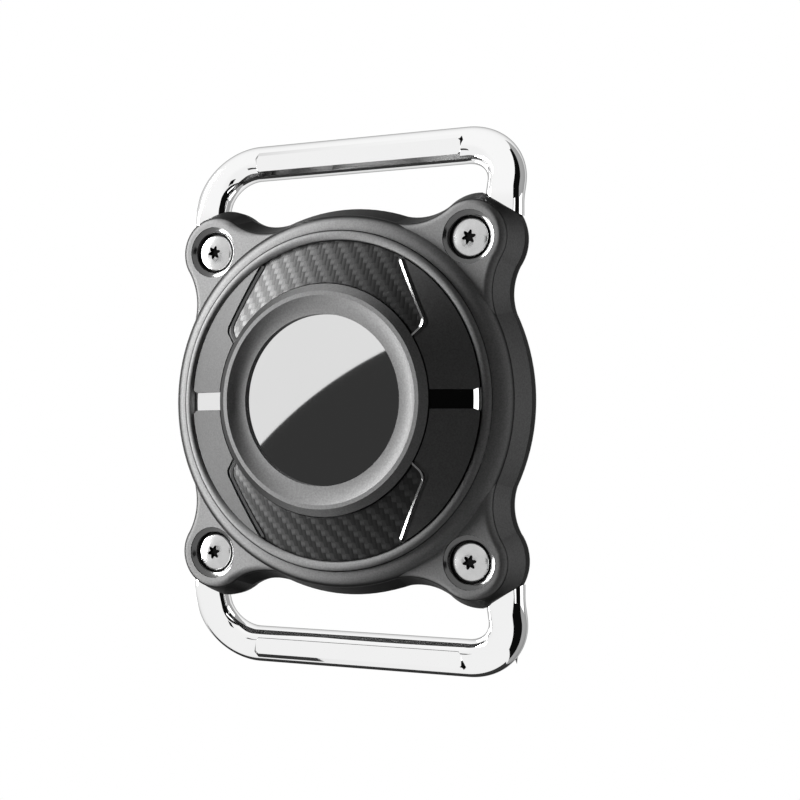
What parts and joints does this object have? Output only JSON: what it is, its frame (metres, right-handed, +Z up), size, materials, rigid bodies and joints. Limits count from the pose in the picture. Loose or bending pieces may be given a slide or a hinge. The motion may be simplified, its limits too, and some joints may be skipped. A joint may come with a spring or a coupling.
{
  "type": "tracker tag holder",
  "caption": "Round screwed case that shows a coin-type tracker tag in its dished window, with a bright metal strap bail above and below.",
  "frame": {"origin": "centre of the rear cover's flat rear face, which lies against the strap", "axes": "front with the window looks along -Y, +Z up towards the top bail, +X to the right as seen from the front"},
  "size_m": [0.0578, 0.017, 0.0808],
  "materials": {
    "body": "fine-grained satin dark grey",
    "disc": "fine-grained satin dark grey",
    "bezel": "turned satin dark grey",
    "carbon": "twill carbon weave",
    "inlay": "polished black",
    "bail": "polished",
    "screw": "polished steel",
    "insert_brass": "knurled brass",
    "seal": "matte black",
    "foam": "closed-cell foam",
    "tag_white": "glossy white",
    "tag_plastic": "moulded",
    "board": "solder mask",
    "magnet": "nickel plated",
    "coil": "enamelled copper wire",
    "contact": "gold flashed",
    "cell": "stamped steel",
    "tag_steel": "polished steel"
  },
  "bodies": {
    "rear": {"rear_cover": "body", "seal_ring": "seal", "tag_pad": "foam", "threaded_inserts": "insert_brass", "top_bail": "bail", "bottom_bail": "bail"},
    "front": {"front_frame": "body", "center_disc": "disc", "bezel_ring": "bezel", "carbon_insert_top": "carbon", "carbon_insert_bottom": "carbon", "slot_inlay_left": "inlay", "slot_inlay_right": "inlay"},
    "screw_tl": {"screw_top_left": "screw"},
    "screw_tr": {"screw_top_right": "screw"},
    "screw_bl": {"screw_bottom_left": "screw"},
    "screw_br": {"screw_bottom_right": "screw"},
    "tag": {"tag_shell": "tag_white", "tag_inner_frame": "tag_plastic", "tag_circuit_board": "board", "tag_magnet": "magnet", "tag_voice_coil": "coil", "battery_contacts": "contact", "coin_cell": "cell"},
    "battery_cover": {"tag_cover": "tag_steel"}
  },
  "joints": [
    {"name": "front_lift", "type": "slide", "parent": "rear", "child": "front", "axis": [0, -1, 0], "range_m": [0, 0.03]},
    {"name": "screw_tl_turn", "type": "hinge", "parent": "front", "child": "screw_tl", "pos_m": [-0.02103, -0.0083, 0.0231], "axis": [0, -1, 0], "range_deg": [0, 2592]},
    {"name": "screw_tr_turn", "type": "hinge", "parent": "front", "child": "screw_tr", "pos_m": [0.02103, -0.0083, 0.0231], "axis": [0, -1, 0], "range_deg": [0, 2592]},
    {"name": "screw_bl_turn", "type": "hinge", "parent": "front", "child": "screw_bl", "pos_m": [-0.02103, -0.0083, -0.0231], "axis": [0, -1, 0], "range_deg": [0, 2592]},
    {"name": "screw_br_turn", "type": "hinge", "parent": "front", "child": "screw_br", "pos_m": [0.02103, -0.0083, -0.0231], "axis": [0, -1, 0], "range_deg": [0, 2592]},
    {"name": "tag_lift", "type": "slide", "parent": "rear", "child": "tag", "axis": [0, -1, 0], "range_m": [0, 0.015]},
    {"name": "battery_cover_twist", "type": "hinge", "parent": "tag", "child": "battery_cover", "pos_m": [0, -0.0128, 0], "axis": [0, -1, 0], "range_deg": [0, 20]}
  ],
  "couplings": [
    {"joint": "tag_lift", "follows": "front_lift", "ratio": 0.5}
  ]
}
